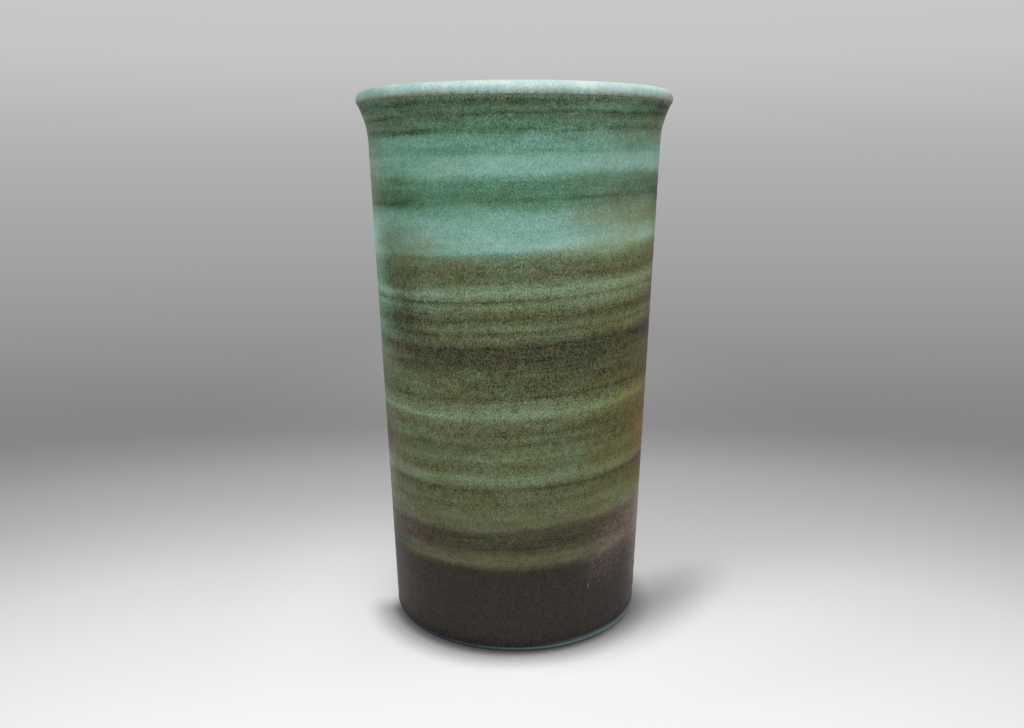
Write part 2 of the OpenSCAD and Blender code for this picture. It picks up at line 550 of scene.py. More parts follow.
# Where the colour changes: height on the bands in mm, or height in metres where it is a _Z
GREEN_EDGE_MM = (40.5, 46.0)            # from the bare dark glaze to the green one
SEA_EDGE_MM = (187.0, 192.5)            # from moss green to sea green
BROWN_TOP_MM = (70.0, 58.0)             # to browner, where the green is thin
BROWN_END_MM = (46.0, 53.0)             # and less so at its lower edge
BROWN_END_SHARE = 0.35
FOOT_SHADE_Z = (9 * MM, 4 * MM)            # to painted shade, just above the foot
FOOT_SHADE_SHARE = 0.6
LIP_RUN_Z = (252.0 * MM, 254.4 * MM)    # to paler, where the lip's glaze has run
LIP_RUN_SHARE = 0.5
LIP_RUN_H = 3 * MM                      # how far runs move that edge, from top to bottom
LIP_RAGGED_H = 2 * MM                   # and crystals
FOOT_RUN_Z = (5.2 * MM, 3.6 * MM)       # to teal, where glaze has gathered on the foot's edge
FOOT_RUN_X = (5 * MM, 45 * MM)          # which is on the right only
FOOT_RUN_SHARE = 0.5
FOOT_RAGGED_H = 1.5 * MM                # how far crystals move its edge

# Cells of noise to the metre along X, Y and Z, for what varies over the glaze
BAND_WAVERS = [((12, 12, 30), 3.0), ((60, 60, 150), 1.2), ((900, 900, 300), 1.6)]   # and mm
PATCH_WANDER = (25, 25, 50)
WANDER_DEG = 16.0
WANDER_MM = 3.0
LINE_GAPS = (42, 42, 300)
LONG_STREAKS = (15, 15, 350)
SHORT_STREAKS = (50, 50, 1100)
FINE_CRYSTALS = (2100, 2100, 1300)
COARSE_CRYSTALS = (350, 350, 280)
COARSE_SHARE = 0.45
MOTTLE = (75, 75, 190)
HUE = (40, 40, 130)
LIP_RUNS = (420, 420, 90)
PITS = (900, 900, 600)

# How much each noise changes the glaze's thickness, its blueness and its warmth
THICKER_BY_LONG_STREAKS = 0.35
THICKER_BY_SHORT_STREAKS = 0.25
THICKER_BY_CRYSTALS = 0.15
THICKER_BY_MOTTLE = 0.32
BLUER_BY_HUE = 0.5
WARMER_BY_HUE = -0.8
OUTSIDE_ROUGHNESS = 0.62

# Noise breaks up the thin lines, the rust and the painted grey sheen: where they are at their
# least and their most, and how strong they are there
LINE_BREAK = (-0.12, 0.12)
RUST_BREAK = (-0.16, 0.12)
RUST_LEAST = 0.2
PAINTED_SHEEN_BREAK = (-0.4, 0.4)
PAINTED_SHEEN_LEAST = 0.2
PAINTED_SHEEN_MOST = 1.8
PAINTED_SHEEN_BY_CRYSTALS = 1.6     # beside the mottle's 1

THICKEST = 1.3             # the thickness at the end of the two lists of greens

# Where the glazes differ round the vase: angle from the front towards the right, height on
# the bands in mm, how far the patch reaches each way in degrees and mm, and the change
THICKER = [
    (48, 206, 34, 9, 0.15), (50, 196, 30, 5, 0.15), (-52, 195, 14, 9, -0.25),
    (-10, 227, 22, 5, 0.1), (-50, 214, 24, 6, -0.2), (-48, 241, 26, 3, -0.15),
    (-44, 134, 26, 8, 0.25), (38, 112, 26, 6, -0.15), (-22, 134, 22, 7, 0.18),
    (62, 49, 26, 6, -0.25), (-68, 48, 28, 8, -0.55), (66, 88, 24, 20, -0.1),
    (-54, 172, 24, 30, -0.42), (-48, 226, 24, 8, -0.35), (38, 190, 36, 7, 0.45),
    (78, 208, 26, 22, -0.4), (-79, 99, 18, 10, -0.7), (-104, 97, 36, 6, -0.45),
    (80, 140, 22, 130, -0.25), (-52, 60, 26, 14, -0.22), (2, 102, 30, 9, 0.14),
    (-54, 157, 26, 6, -0.2), (-50, 144, 34, 5, 0.15), (-34, 128, 26, 7, 0.14),
    (50, 67, 30, 6, 0.16), (42, 170, 26, 8, 0.22), (58, 126, 20, 5, -0.18),
    (64, 251, 24, 8, -0.3), (30, 238, 34, 8, 0.12), (30, 192, 30, 6, 0.15),
    (44, 114, 34, 5, 0.12), (72, 252, 22, 8, -0.25), (34, 216, 26, 7, 0.13),
    (-42, 192, 24, 6, -0.17), (40, 192, 60, 5, 0.1), (-37, 156, 16, 6, -0.14),
    (-72, 144, 24, 10, 0.18), (52, 144, 26, 6, 0.1), (-54, 108, 14, 6, 0.14),
    (-70, 84, 14, 6, 0.2), (50, 72, 20, 6, 0.12), (74, 58, 16, 18, 0.34), (-76, 204, 16, 30, 0.15),
    (-68, 160, 24, 50, 0.12), (-68, 140, 20, 14, 0.1), (-72, 74, 18, 24, 0.18),
    (66, 192, 16, 8, 0.12), (68, 136, 14, 14, 0.18), (-54, 168, 12, 6, 0.1),
    (40, 48, 22, 8, -0.14), (73, 56, 18, 18, 0.4), (-44, 200, 26, 14, -0.1),
    (-28, 228, 50, 6, -0.09), (52, 228, 24, 8, 0.1), (-40, 156, 14, 6, -0.08),
    (-40, 108, 44, 5, 0.09), (72, 98, 16, 14, 0.3), (-70, 138, 20, 16, 0.1),
    (-70, 215, 14, 24, 0.12), (-66, 50, 14, 10, 0.12), (28, 248, 24, 4, 0.15),
    (130, 176, 34, 24, -0.3), (-150, 120, 44, 10, 0.25), (170, 205, 44, 8, 0.2),
    (112, 92, 26, 16, -0.3), (-118, 226, 30, 7, -0.3), (-125, 62, 36, 12, -0.25),
    (165, 46, 44, 6, -0.3), (-160, 158, 50, 7, -0.25), (140, 132, 40, 8, 0.2),
]
BLUER = [
    (52, 203, 46, 14, -0.85), (44, 192, 36, 7, -0.5), (48, 220, 36, 13, -0.45),
    (-52, 200, 26, 12, -0.75), (-34, 193, 22, 8, -0.55), (-66, 226, 24, 9, -0.35),
    (-70, 172, 20, 50, 0.75), (-58, 180, 18, 16, 0.25), (14, 249, 80, 12, -0.45),
    (50, 236, 50, 14, -0.3), (-48, 162, 34, 22, 0.15), (-46, 248, 44, 12, -0.35),
    (62, 248, 34, 14, -0.35), (34, 212, 22, 9, -0.4), (-66, 194, 16, 9, -0.35),
    (-150, 198, 46, 12, -0.75), (122, 194, 26, 8, -0.5), (165, 172, 32, 30, 0.6),
    (-112, 248, 44, 12, -0.4), (142, 222, 34, 12, -0.4), (0, 250, 150, 14, -0.15),
    (-76, 222, 30, 50, -0.4), (64, 240, 30, 8, -0.25), (-14, 228, 30, 8, 0.12),
    (34, 203, 22, 8, -0.2), (26, 191, 22, 6, -0.3), (-62, 168, 14, 20, 0.1),
    (-98, 178, 26, 34, 0.45), (-70, 216, 20, 14, -0.25), (-70, 240, 20, 10, -0.2),
    (-24, 191, 20, 5, 0.15), (-8, 218, 26, 20, 0.14), (-10, 204, 16, 8, 0.1),
    (36, 203, 18, 10, -0.14), (36, 240, 22, 6, -0.15), (-36, 240, 22, 6, -0.12),
    (26, 186, 24, 10, -0.1), (-72, 168, 12, 14, -0.3), (-66, 50, 22, 10, 0.25),
    (34, 176, 26, 20, -0.14), (-66, 54, 24, 22, 0.4), (32, 50, 40, 8, -0.12),
]
RUSTIER = [
    (90, 100, 34, 50, 1.0), (110, 106, 56, 8, 0.7), (116, 86, 60, 7, 0.6), (76, 252, 20, 8, 0.2),
    (158, 106, 50, 7, 0.45), (-140, 90, 56, 8, 0.45), (-160, 253, 40, 7, 0.4),
]
WARMER = [
    (88, 112, 82, 120, 1.0), (80, 196, 70, 40, 0.25), (-80, 100, 22, 18, 1.0),
    (72, 250, 30, 14, 0.7), (82, 82, 34, 36, 0.6), (-140, 110, 60, 90, 0.6),
]
# Painted sheen: where the pale grey stands in for light reflected on the glaze, mostly at the
# sides and low down, as in the lists above
PAINTED_SHEEN_PATCHES = [
    (-60, 62, 30, 26, 0.15), (60, 52, 34, 18, 0.3), (88, 34, 36, 46, 0.7),
    (44, 40, 24, 18, 0.12), (-82, 84, 34, 44, 0.3), (-80, 24, 40, 36, 0.05),
    (-116, 50, 40, 30, 0.3), (150, 40, 50, 26, 0.3), (124, 30, 40, 30, 0.3),
    (106, 58, 50, 8, 0.25),
]
FLECKS = [(32, 29, 0.9, 1.8, 0.3), (-71, 84, 3, 3, 0.6), (-3, 246, 1.6, 0.8, 0.6),
          (118, 34, 1.2, 1.6, 0.5), (-128, 22, 1.4, 1.2, 0.5), (170, 243, 2, 0.9, 0.5)]

# Thin dark lines that come and go: height on the bands, half width and change of thickness
BROKEN_LINES_MM = [
    (252.5, 1.6, -0.14), (247.2, 1.4, -0.2), (241.0, 1.6, -0.15), (212.5, 1.6, -0.15),
    (170.0, 1.0, -0.3), (149.5, 1.4, -0.15), (126.0, 1.2, -0.18), (83.0, 1.5, -0.12),
]
# How much the crystals' light and dark grain shows, by height on the bands, from 0 to 1
GRAIN_MM = [(43, 0.2), (60, 0.25), (75, 0.45), (95, 0.55), (105, 0.55), (120, 0.7), (140, 0.6),
            (150, 0.6), (172, 0.7), (185, 0.65), (193, 0.36), (210, 0.4), (230, 0.38), (242, 0.6),
            (250, 0.56)]
GRAIN_FRONT = 2.75         # its strength at the front
GRAIN_SIDE = 3.7           # and at both sides and the back
GRAIN_TURN_DEG = (30.0, 75.0)   # from the front, where it changes from the one to the other
GRAIN_ENDS_MM = (40, 250)
GRAIN_DARKER = 0.5         # how far it scales the colour
GRAIN_PALER = 0.065        # and how much it adds to it


def tipped_height(t):
    """The tipped bands' height in mm at a point, with their edges wavering a little."""
    tip = t.remap(t.z, TIP_LOW_Z, TIP_HIGH_Z, 0.0, TIP_HIGH_MM - TIP_LOW_MM)
    tip = t.add(tip, t.remap(t.z, TIP_FOOT_Z, TIP_WALL_Z, TIP_FOOT_MM, TIP_LOW_MM))
    level = t.node("ShaderNodeVectorMath", t.vector(t.x, t.y), operation="NORMALIZE").outputs[0]
    across = t.node("ShaderNodeSeparateXYZ", level).outputs[0]
    height = t.times_add(t.z, 1 / MM, t.times(t.times(tip, across), -1.0))
    for cells, amount_mm in BAND_WAVERS:
        height = t.times_add(t.noise(cells), amount_mm, height)
    return height


def band_thickness(t, height):
    """The bands' thickness by height, from as many ramps as the list needs."""
    result = None
    for first in range(0, len(BANDS_MM) - 1, RAMP_STOPS):
        stops = BANDS_MM[first:first + RAMP_STOPS + 1]
        part = t.ramp(height, stops, stops[0][0], stops[-1][0])
        above = t.math("GREATER_THAN", height, float(stops[0][0]))
        result = part if result is None else t.mix(above, result, part)
    return result


def around(t, height):
    """The angle from the front towards the right in degrees and the height, both wandering."""
    turn = t.math("ARCTAN2", t.x, t.times(t.y, -1.0))
    wander = t.noise(PATCH_WANDER, detail=3.0)
    degrees = t.times_add(turn, 180 / math.pi, t.times(wander, WANDER_DEG))
    return degrees, t.times_add(wander, WANDER_MM, height)


def patches(t, place, patch_list):
    """The sum of soft patches of change, each falling to nothing at its reach."""
    degrees, level = place
    total = None
    for at, height, wide, tall, change in patch_list:
        turn = t.math("WRAP", t.add(degrees, -at), 180.0, -180.0)
        across = t.times(turn, 1 / wide)
        up = t.times_add(level, 1 / tall, -height / tall)
        away = t.length(t.vector(across, up))
        share = t.times(t.remap(away, 1.0, 0.0), change)
        total = share if total is None else t.add(total, share)
    return total


def along_bands(t, height):
    """The position with the bands' height for its Z, so that noise follows the bands."""
    return t.vector(t.x, t.y, t.times(height, MM))


def broken_lines(t, height):
    """Thin dark lines along the bands, broken here and there."""
    total = None
    for level, half_width, change in BROKEN_LINES_MM:
        away = t.math("ABSOLUTE", t.add(height, -level))
        share = t.times(t.remap(away, half_width, 0.0), change)
        total = share if total is None else t.add(total, share)
    gaps = t.noise(LINE_GAPS, detail=2.0, vector=along_bands(t, height))
    return t.times(total, t.remap(gaps, *LINE_BREAK))


def streaks(t, height):
    """Thin uneven streaks that follow the bands, a few centimetres long."""
    flat = along_bands(t, height)
    long = t.times(t.noise(LONG_STREAKS, detail=3.0, vector=flat), THICKER_BY_LONG_STREAKS)
    short = t.times(t.noise(SHORT_STREAKS, detail=2.0, vector=flat), THICKER_BY_SHORT_STREAKS)
    return t.add(long, short)


def speckle(t):
    """The glaze's fine crystals, drawn out downwards by the melt."""
    fine = t.noise(FINE_CRYSTALS, detail=0.0)
    coarse = t.noise(COARSE_CRYSTALS, detail=2.0)
    return t.add(fine, t.times(coarse, COARSE_SHARE))


def lip_edge(t, crystals):
    """Height, made ragged by the short runs in which the lip's pale glaze ends."""
    ragged = t.times_add(t.noise(LIP_RUNS, detail=2.0), LIP_RUN_H, t.z)
    return t.times_add(crystals, LIP_RAGGED_H, ragged)


def green_coat(t, height, place, crystals, mottle):
    """The green glaze by its thickness, with bluer, warmer, rustier and browner places."""
    streak = streaks(t, height)
    uneven = t.add(t.times(crystals, THICKER_BY_CRYSTALS), t.times(mottle, THICKER_BY_MOTTLE))
    thick = t.add(t.add(band_thickness(t, height), streak), uneven)
    thick = t.add(thick, patches(t, place, THICKER))
    thick = t.add(thick, broken_lines(t, height))

    hue = t.noise(HUE, detail=3.0, vector=t.offset(t.position, (3, 1, 2)))
    blue = t.add(t.remap(height, *SEA_EDGE_MM), patches(t, place, BLUER))
    blue = t.within_one(t.add(blue, t.times(hue, BLUER_BY_HUE)))
    moss = t.ramp(thick, MOSS, 0.0, THICKEST)
    sea = t.ramp(thick, SEA, 0.0, THICKEST)
    green = t.mix(blue, moss, sea)

    warmth = t.within_one(t.add(patches(t, place, WARMER), t.times(hue, WARMER_BY_HUE)))
    green = t.scaled(green, t.mix(warmth, WHITE, WARM_TINT))
    rusty = t.math("MINIMUM", patches(t, place, RUSTIER), 1.0)
    rusty = t.times(rusty, t.remap(t.add(streak, mottle), *RUST_BREAK, RUST_LEAST, 1.0))
    green = t.mix(rusty, green, RUST)
    brown = t.times(t.remap(height, *BROWN_TOP_MM),
                    t.remap(height, *BROWN_END_MM, BROWN_END_SHARE, 1.0))
    return t.scaled(green, t.mix(brown, WHITE, BROWN_TINT))


def grained(t, colour, height, degrees, crystals):
    """The colour with the crystals' light and dark grain on it."""
    strength = t.remap(t.math("ABSOLUTE", degrees), *GRAIN_TURN_DEG, GRAIN_FRONT, GRAIN_SIDE)
    grain = t.times(crystals, t.times(t.ramp(height, GRAIN_MM, *GRAIN_ENDS_MM), strength))
    colour = t.scaled(colour, t.times_add(grain, GRAIN_DARKER, 1.0))
    return t.offset(colour, t.times(grain, GRAIN_PALER))


def outside_glaze(name):
    """The banded green glaze over the dark one, down to the bare dark glaze at the foot, with
    painted grey sheen at the sides and painted shade just above the foot.
    """
    t = Tree(name, Roughness=OUTSIDE_ROUGHNESS, Specular_IOR_Level=0.22, Sheen_Weight=0.06,
             Sheen_Roughness=0.4)
    height = tipped_height(t)
    place = around(t, height)
    crystals = speckle(t)
    mottle = t.noise(MOTTLE, detail=3.0)
    green = green_coat(t, height, place, crystals, mottle)
    colour = t.mix(t.remap(height, *GREEN_EDGE_MM), DARK, green)
    # Painted shade just above the foot
    colour = t.mix(t.remap(t.z, *FOOT_SHADE_Z, 0.0, FOOT_SHADE_SHARE), colour, PAINTED_FOOT_SHADE)

    # Painted sheen: the pale grey mixed in at the sides, broken up by crystals and mottle
    broken = t.times_add(crystals, PAINTED_SHEEN_BY_CRYSTALS, mottle)
    broken = t.remap(broken, *PAINTED_SHEEN_BREAK, PAINTED_SHEEN_LEAST, PAINTED_SHEEN_MOST)
    painted_sheen = t.math("MAXIMUM", t.times(patches(t, place, PAINTED_SHEEN_PATCHES), broken), 0.0)
    colour = t.mix(painted_sheen, colour, PAINTED_SHEEN_GREY)
    lip_run = t.remap(lip_edge(t, crystals), *LIP_RUN_Z, 0.0, LIP_RUN_SHARE)
    colour = t.mix(lip_run, colour, LIP_RUN)
    ragged = t.times_add(crystals, FOOT_RAGGED_H, t.z)
    foot_run = t.times(t.remap(ragged, *FOOT_RUN_Z), t.remap(t.x, *FOOT_RUN_X))
    colour = t.mix(t.times(foot_run, FOOT_RUN_SHARE), colour, FOOT_RUN)
    colour = t.mix(patches(t, place, FLECKS), colour, FLECK)
    colour = grained(t, colour, height, place[0], crystals)

    normal = t.bump(t.noise(PITS, detail=2.0), distance=0.12 * MM, strength=0.5)
    return t.finish(colour, t.times_add(crystals, 0.15, OUTSIDE_ROUGHNESS), normal)


# ---------------------------------------------------------------- the lip, the inside and the foot

# How much paler the lip is in patches, partly the glaze's own and partly a painted highlight where
# its top catches the light towards the front and right, and where it shows rust, as in the lists
# above
LIP_PALER_AND_HIGHLIGHT = [
    (14, 259, 44, 8, 0.3), (-66, 257, 46, 8, -0.4), (50, 256, 30, 5, -0.2),
    (66, 260, 26, 4, 0.35), (150, 258, 50, 9, -0.35), (-120, 258, 40, 8, 0.25),
]
LIP_RUST = [(76, 256, 24, 6, 0.9), (48, 254.2, 34, 2, 0.8), (-44, 254.2, 34, 2, 0.8),
            (8, 253.8, 30, 1.2, 0.5), (176, 255, 40, 3, 0.5), (-130, 254.5, 30, 2, 0.7)]

# The lip's colours by tone, and those that it changes to: how much, and between which heights
LIP_TONES = [(0.0, rgb(112, 150, 144)), (0.4, rgb(168, 203, 197)), (0.7, rgb(198, 222, 216)),
             (1.0, rgb(230, 238, 234))]
LIP_CREST = rgb(220, 202, 178)
LIP_THIN = rgb(134, 168, 156)
LIP_BROKEN = rgb(96, 96, 70)
RUST_ON_LIP = rgb(134, 98, 56)
LIP_CREST_H = 1.0 * MM
LIP_CREST_SHARE = 0.6
LIP_THIN_SHARE = 0.65
LIP_BROKEN_SHARE = 0.85
LIP_THIN_Z = (258.4 * MM, 255.4 * MM)
LIP_BROKEN_Z = (256.0 * MM, 253.6 * MM)

LINER_TONES = [(0.0, rgb(140, 172, 160)), (0.5, rgb(178, 200, 190)), (1.0, rgb(206, 218, 208))]
LINER_POOLED = rgb(86, 132, 122)
LINER_POOLED_SHARE = 0.75
POOL_DEPTH = 14 * MM

# The foot's line, from its left to its right
FOOT_TONES = [(-1.0, rgb(34, 36, 48)), (-0.5, rgb(42, 50, 62)), (0.0, rgb(60, 86, 94)),
              (0.5, rgb(78, 106, 102)), (1.0, rgb(106, 130, 120))]
FOOT_BRIGHT = rgb(170, 190, 186)
FOOT_BRIGHT_SHARE = 0.7

CLAY_TONES = [(0.2, rgb(88, 70, 55)), (0.5, rgb(116, 94, 74)), (0.8, rgb(142, 118, 94))]
IRON_SPECK = rgb(48, 34, 26)
# Painted contact shade on the clay at the foot's outer edge, next to the table
PAINTED_CONTACT_SHADE = rgb(40, 34, 30)
CONTACT_SHADE_SHARE = 0.8


def lip_glaze():
    """The pale glaze over the lip, speckled and brown where it breaks over its lower edge."""
    t = Tree("pale_lip_glaze", Roughness=0.45)
    cloud = t.noise((60, 60, 60), detail=3.0)
    crystals = t.noise((1300, 1300, 900), detail=1.0)
    place = around(t, t.times(t.z, 1 / MM))
    # Partly painted highlight: the lip's top is paler towards the front and right, besides the
    # glaze's own paler and darker patches
    tone = t.add(t.add(cloud, t.times(crystals, 0.7)), patches(t, place, LIP_PALER_AND_HIGHLIGHT))
    pale = t.ramp(t.add(tone, 0.5), LIP_TONES)
    crest = t.times(t.remap(t.z, HEIGHT - LIP_CREST_H, HEIGHT), t.remap(cloud, -0.15, 0.15))
    pale = t.mix(t.times(crest, LIP_CREST_SHARE), pale, LIP_CREST)
    edge = lip_edge(t, crystals)
    thin = t.times(t.remap(edge, *LIP_THIN_Z), LIP_THIN_SHARE)
    colour = t.mix(thin, pale, LIP_THIN)
    broken = t.times(t.remap(edge, *LIP_BROKEN_Z), LIP_BROKEN_SHARE)
    colour = t.mix(broken, colour, LIP_BROKEN)
    rust = t.times(patches(t, place, LIP_RUST), t.remap(crystals, -0.25, 0.15))
    colour = t.mix(rust, colour, RUST_ON_LIP)
    normal = t.bump(crystals, distance=0.08 * MM, strength=0.4)
    return t.finish(colour, t.times_add(crystals, 0.15, 0.45), normal)


def liner_glaze():
    """The pale glossy glaze inside, deeper in colour where it has pooled on the floor."""
    t = Tree("liner_glaze", Roughness=0.25)
    cloud = t.noise((25, 25, 60), detail=3.0)
    crystals = t.noise((800, 800, 500), detail=1.0)
    tone = t.add(t.add(cloud, t.times(crystals, 0.4)), 0.5)
    pooled = t.remap(t.z, FLOOR_Z + POOL_DEPTH, FLOOR_Z)
    colour = t.mix(t.times(pooled, LINER_POOLED_SHARE), t.ramp(tone, LINER_TONES), LINER_POOLED)
    normal = t.bump(cloud, distance=0.3 * MM, strength=0.3)
    return t.finish(colour, t.times_add(crystals, 0.1, 0.25), normal)


def foot_line_glaze():
    """Teal glaze gathered in a thin line on the foot's edge, dark blue on the left."""
    t = Tree("teal_foot_glaze", Roughness=0.35)
    cloud = t.noise((90, 90, 90), detail=3.0)
    crystals = t.noise((900, 900, 900), detail=1.0)
    side = t.math("DIVIDE", t.x, EDGE_C[0])
    tone = t.add(t.add(side, t.times(cloud, 0.9)), t.times(crystals, 0.7))
    colour = t.ramp(tone, FOOT_TONES, -1.0, 1.0)
    bright = t.remap(crystals, 0.24, 0.36)
    colour = t.mix(t.times(bright, FOOT_BRIGHT_SHARE), colour, FOOT_BRIGHT)
    normal = t.bump(cloud, distance=0.3 * MM, strength=0.5)
    return t.finish(colour, t.times_add(cloud, 0.2, 0.35), normal)


def bare_clay(name):
    """Fired stoneware with iron specks and the lines that the turning tool leaves, and painted
    shade at the foot's outer edge.
    """
    t = Tree(name, Roughness=0.8)
    body = t.noise((40, 40, 40), detail=4.0)
    grit = t.noise((1800, 1800, 1800), detail=2.0)
    colour = t.ramp(t.add(t.add(body, t.times(grit, 0.5)), 0.5), CLAY_TONES)
    specks = t.noise((600, 600, 600), detail=0.0)
    colour = t.mix(t.remap(specks, 0.2, 0.26), colour, IRON_SPECK)
    radius = t.length(t.vector(t.x, t.y))
    tool_lines = t.noise((1600, 1600, 1600), detail=1.0, vector=t.vector(radius, 0.0, t.z))
    # Painted shade: the clay at the foot's outer edge is darkened as if in the table's contact
    # shadow
    contact_shade = t.remap(radius, EDGE_C[0] - 1 * MM, EDGE_C[0] + 2 * MM)
    colour = t.mix(t.times(contact_shade, CONTACT_SHADE_SHARE), colour, PAINTED_CONTACT_SHADE)
    normal = t.bump(t.add(tool_lines, t.times(grit, 0.8)), distance=0.15 * MM, strength=0.5)
    return t.finish(colour, t.times_add(grit, 0.2, 0.8), normal)


# ---------------------------------------------------------------- the vase

# How far apart the points of a section lie
SHOWN_STEP = 0.65 * MM     # on the outside
LINER_STEP = 1.5 * MM      # on the inside, which is smoother
ROUND_STEP = 0.3 * MM      # on the lip and other small rounds
BEAD_STEP = 0.15 * MM      # on the line of glaze at the foot
EDGE_STEP = 0.4 * MM       # on the foot's rounded edge
RING_STEP = 0.5 * MM       # on the foot ring
UNDER_STEP = 1 * MM        # under the floor, the lip's glaze and the top of the foot ring
INNER_STEP = 2 * MM        # on the rest of the floor
COAT_STEP = 4 * MM         # where one coat lies on another
LINER_UNDER_STEP = 6 * MM  # under the liner glaze
PLAIN_STEP = 12 * MM       # on the straight side of the clay


def build_foot_ring(clay):
    """The turned ring that the vase stands on, set back under the line of glaze."""
    outer = joined(edge_arc(0, -90, RUN_LOW_DEG, EDGE_STEP),
                   run_arc(COAT_T, EDGE_STEP),
                   line(edge_top(COAT_T), side_point(RING_TOP_Z, COAT_T), UNDER_STEP))
    inner_top = (RING_IN_R, RING_TOP_Z)
    round_c = (RING_IN_R + RING_ROUND_R, RING_ROUND_R)
    section = joined(outer,
                     line(outer[-1], inner_top, UNDER_STEP),
                     line(inner_top, (RING_IN_R, RING_ROUND_R), RING_STEP),
                     arc(round_c, RING_ROUND_R, 180, 270, ROUND_STEP),
                     line((round_c[0], 0), outer[0], RING_STEP)[:-1])
    turned_piece("foot_ring_turned", [(section, no_relief)], clay,
                 ["foot_ring"])


def build_clay_floor(clay):
    """The floor, which sits in the foot ring and rises at its edge to meet the wall."""
    under_liner = bowl_path(LINER_T, INNER_STEP)
    top = under_liner[under_liner[:, 1] <= FLOOR_Z + FLOOR_FILLET_R + 0.1 * MM]
    ring_low = (RING_IN_R, RECESS_Z)
    ring_top = (RING_IN_R, RING_TOP_Z)
    side_low = side_point(RING_TOP_Z, COAT_T)
    side_top = side_point(top[-1][1], COAT_T)
    section = joined(line((0, RECESS_Z), ring_low, UNDER_STEP),
                     line(ring_low, ring_top, RING_STEP),
                     line(ring_top, side_low, INNER_STEP),
                     line(side_low, side_top, INNER_STEP),
                     reversed_path(top))
    turned_piece("floor_turned", [(section, turning_marks)], clay,
                 ["clay_floor"])


def build_liner():
    stretches = [(bowl_path(LINER_T, LINER_UNDER_STEP), no_relief),
                 (reversed_path(bowl_path(0, LINER_STEP)), bowl_relief)]
    turned_piece("liner_glaze_coat", stretches, liner_glaze(), ["liner_glaze"])


def build_dark_coat(outside):
    """The dark glaze: it shows up to the green glaze's edge and lies under it from there."""
    shown = line(edge_top(0), side_point(GREEN_Z, 0), SHOWN_STEP)
    covered = outside_path(GREEN_Z, GREEN_T, COAT_STEP)
    on_clay = joined(line(edge_top(COAT_T), side_point(GREEN_Z, COAT_T), PLAIN_STEP),
                     outside_path(GREEN_Z, COAT_T, COAT_STEP))
    stretches = [(joined(shown, covered), thrown_relief), (reversed_path(on_clay), no_relief)]
    turned_piece("dark_glaze_coat", stretches, outside, ["dark_glaze"])


def build_green_coat(outside):
    stretches = [(outside_path(GREEN_Z, 0, SHOWN_STEP), thrown_relief),
                 (reversed_path(outside_path(GREEN_Z, GREEN_T, COAT_STEP)), thrown_relief_under)]
    turned_piece("green_glaze_coat", stretches, outside, ["green_glaze"])


def build_lip_coat():
    stretches = [(lip_arc(0, ROUND_STEP), no_relief),
                 (reversed_path(lip_arc(COAT_T, UNDER_STEP)), no_relief)]
    turned_piece("lip_glaze_coat", stretches, lip_glaze(), ["lip_glaze"])


def build_foot_line():
    stretches = [(run_arc(0, BEAD_STEP), no_relief),
                 (reversed_path(run_arc(COAT_T, ROUND_STEP)), no_relief)]
    turned_piece("foot_line_bead", stretches, foot_line_glaze(),
                 ["foot_glaze_line"])


def build_vase():
    """All the turned pieces, and clay on the CAD pieces that are covered all round."""
    clay = bare_clay("bare_clay")
    outside = outside_glaze("banded_glaze")
    build_foot_ring(clay)
    build_clay_floor(clay)
    build_liner()
    build_dark_coat(outside)
    build_green_coat(outside)
    build_lip_coat()
    build_foot_line()
    for node in ("clay_wall", "clay_neck", "clay_lip"):
        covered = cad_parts[node]
        covered.data.materials.clear()
        covered.data.materials.append(clay)


# ---------------------------------------------------------------- stage, light and camera

FLOOR_HALF_SIZE = 400.0
# Tone of the floor by distance from the middle of the light's pool, in front of the vase
POOL = (-0.013, -0.223)
POOL_WIDER = 1.36          # the pool is this much longer along X than along Y
FAR_WIDER = 3.0            # and this much behind the vase
WIDENS_Y = (0.05, 0.5)     # which it comes to between these
POOL_HALF_WAY = 0.5        # the distance that lies half way along the ramp of tones
FLOOR_TONES = [(0.11, 244), (0.14, 241), (0.175, 235), (0.22, 227), (0.275, 213), (0.34, 188),
               (0.38, 174), (0.43, 160), (0.48, 143), (0.53, 131), (0.58, 130), (0.67, 134),
               (0.84, 141), (1.05, 147), (1.3, 151), (1.65, 155), (2.0, 158), (2.55, 160),
               (3.2, 162), (4.0, 163), (5.0, 165), (6.5, 167), (20.0, 169), (80.0, 170)]
FLOOR_GLOW = 0.5           # the share of its tone that the floor glows with and also reflects
# The floor is painted darker close to the foot, as contact shade: the ring's middle, how far it
# reaches, and how dark it is
CONTACT_RINGS = [((-0.003, -0.001), 19.5 * MM, 0.36), ((-0.002, -0.0015), 6 * MM, 0.4)]
# but hardly on the lit side, at the left and towards the back
LIT_Y = (-0.022, -0.002)
LIT_X = (0.0, -0.04)
LIT_SHARE = 0.9
# Soft patches of shade, and of light where the share is negative: middle, reach each way,
# turn in degrees, and share of the floor's tone that is taken away
FLOOR_SHADES = [
    (0.065, -0.018, 0.09, 0.034, 46, 0.52),
    (0.077, -0.035, 0.185, 0.07, 22, -0.12),
    (-0.1, 0.02, 0.065, 0.15, 0, -0.065),
    (0.0, 0.43, 0.32, 0.47, 0, -0.18),
]
# Tone of the backdrop by the sine of the elevation
SKY_TONES = [(0.0, 176), (0.026, 180), (0.056, 187), (0.107, 197), (0.16, 200), (0.4, 215),
             (1.0, 235)]


def grey(tone):
    return rgb(tone, tone, tone)


